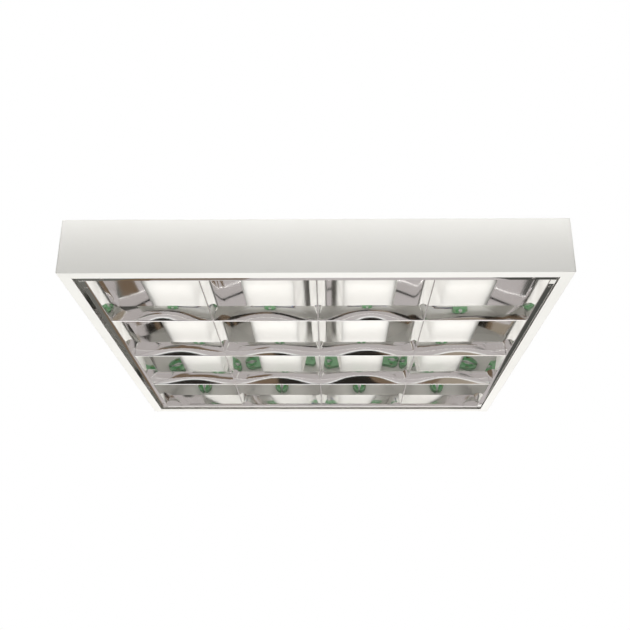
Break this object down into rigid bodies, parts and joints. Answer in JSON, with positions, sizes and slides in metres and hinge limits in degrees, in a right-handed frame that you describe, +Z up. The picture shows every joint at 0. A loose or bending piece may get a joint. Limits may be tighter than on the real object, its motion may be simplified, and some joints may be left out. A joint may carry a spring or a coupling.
{
  "type": "surface mounted ceiling light",
  "caption": "Square surface mounted ceiling light for straight fluorescent tubes, with a white steel housing and a hinged mirror louvre of V profiles and cross blades.",
  "frame": {"origin": "centre of the ceiling slots, on the ceiling face of the back", "axes": "+Z up into the ceiling, +Y along the lamps away from the wired end, +X towards the louvre's hinges"},
  "size_m": [0.62, 0.62, 0.072],
  "materials": {
    "white_paint": "white powder coat",
    "bright_steel": "zinc plated",
    "mirror_sheet": "mirror polished",
    "green_plastic": "moulded, satin",
    "rotor_plastic": "moulded",
    "contact_metal": "plain",
    "white_plastic": "moulded",
    "bush_plastic": "moulded",
    "brown_insulation": "smooth",
    "blue_insulation": "smooth",
    "earth_insulation": "smooth"
  },
  "bodies": {
    "housing": {"block_rivets": "bright_steel", "bracket_rivets": "bright_steel", "cable_bush": "bush_plastic", "earth_lug": "bright_steel", "earth_nut": "bright_steel", "earth_stud": "bright_steel", "earth_washer": "bright_steel", "earth_wire": "earth_insulation", "end_plate_far": "white_paint", "end_plate_near": "white_paint", "frame_rivets": "bright_steel", "hinge_bracket_far": "bright_steel", "hinge_bracket_near": "bright_steel", "hinge_pin_far": "bright_steel", "hinge_pin_near": "bright_steel", "holder_rail_far": "white_paint", "holder_rail_near": "white_paint", "housing_tray": "white_paint", "lamp_contacts": "contact_metal", "lampholder_far_1": "green_plastic", "lampholder_far_2": "green_plastic", "lampholder_far_3": "green_plastic", "lampholder_far_4": "green_plastic", "lampholder_near_1": "green_plastic", "lampholder_near_2": "green_plastic", "lampholder_near_3": "green_plastic", "lampholder_near_4": "green_plastic", "latch_rivets": "bright_steel", "latch_spring_far": "bright_steel", "latch_spring_near": "bright_steel", "line_wires": "brown_insulation", "neutral_wires": "blue_insulation", "rail_clips": "white_plastic", "run_clips": "white_plastic", "terminal_block": "white_plastic", "terminal_screws": "bright_steel"},
    "louvre": {"corner_gussets": "mirror_sheet", "cross_blade_far": "mirror_sheet", "cross_blade_middle": "mirror_sheet", "cross_blade_near": "mirror_sheet", "end_blade_far": "mirror_sheet", "end_blade_near": "mirror_sheet", "hinge_block_far": "white_plastic", "hinge_block_near": "white_plastic", "louvre_profile_left": "mirror_sheet", "louvre_profile_middle": "mirror_sheet", "louvre_profile_right": "mirror_sheet", "louvre_rivets": "mirror_sheet", "side_profile_left": "mirror_sheet", "side_profile_right": "mirror_sheet"},
    "rotor_far_1": {"rotor_far_1": "rotor_plastic"},
    "rotor_far_2": {"rotor_far_2": "rotor_plastic"},
    "rotor_far_3": {"rotor_far_3": "rotor_plastic"},
    "rotor_far_4": {"rotor_far_4": "rotor_plastic"},
    "rotor_near_1": {"rotor_near_1": "rotor_plastic"},
    "rotor_near_2": {"rotor_near_2": "rotor_plastic"},
    "rotor_near_3": {"rotor_near_3": "rotor_plastic"},
    "rotor_near_4": {"rotor_near_4": "rotor_plastic"}
  },
  "joints": [
    {"name": "louvre_swing", "type": "hinge", "parent": "housing", "child": "louvre", "pos_m": [0.2905, 0, -0.0665], "axis": [0, -1, 0], "range_deg": [0, 90]},
    {"name": "rotor_far_1_turn", "type": "hinge", "parent": "housing", "child": "rotor_far_1", "pos_m": [-0.2175, 0.2955, -0.025], "axis": [0, 1, 0], "range_deg": [0, 90]},
    {"name": "rotor_far_2_turn", "type": "hinge", "parent": "housing", "child": "rotor_far_2", "pos_m": [-0.0725, 0.2955, -0.025], "axis": [0, 1, 0], "range_deg": [0, 90]},
    {"name": "rotor_far_3_turn", "type": "hinge", "parent": "housing", "child": "rotor_far_3", "pos_m": [0.0725, 0.2955, -0.025], "axis": [0, 1, 0], "range_deg": [0, 90]},
    {"name": "rotor_far_4_turn", "type": "hinge", "parent": "housing", "child": "rotor_far_4", "pos_m": [0.2175, 0.2955, -0.025], "axis": [0, 1, 0], "range_deg": [0, 90]},
    {"name": "rotor_near_1_turn", "type": "hinge", "parent": "housing", "child": "rotor_near_1", "pos_m": [-0.2175, -0.2955, -0.025], "axis": [0, 1, 0], "range_deg": [0, 90]},
    {"name": "rotor_near_2_turn", "type": "hinge", "parent": "housing", "child": "rotor_near_2", "pos_m": [-0.0725, -0.2955, -0.025], "axis": [0, 1, 0], "range_deg": [0, 90]},
    {"name": "rotor_near_3_turn", "type": "hinge", "parent": "housing", "child": "rotor_near_3", "pos_m": [0.0725, -0.2955, -0.025], "axis": [0, 1, 0], "range_deg": [0, 90]},
    {"name": "rotor_near_4_turn", "type": "hinge", "parent": "housing", "child": "rotor_near_4", "pos_m": [0.2175, -0.2955, -0.025], "axis": [0, 1, 0], "range_deg": [0, 90]}
  ]
}
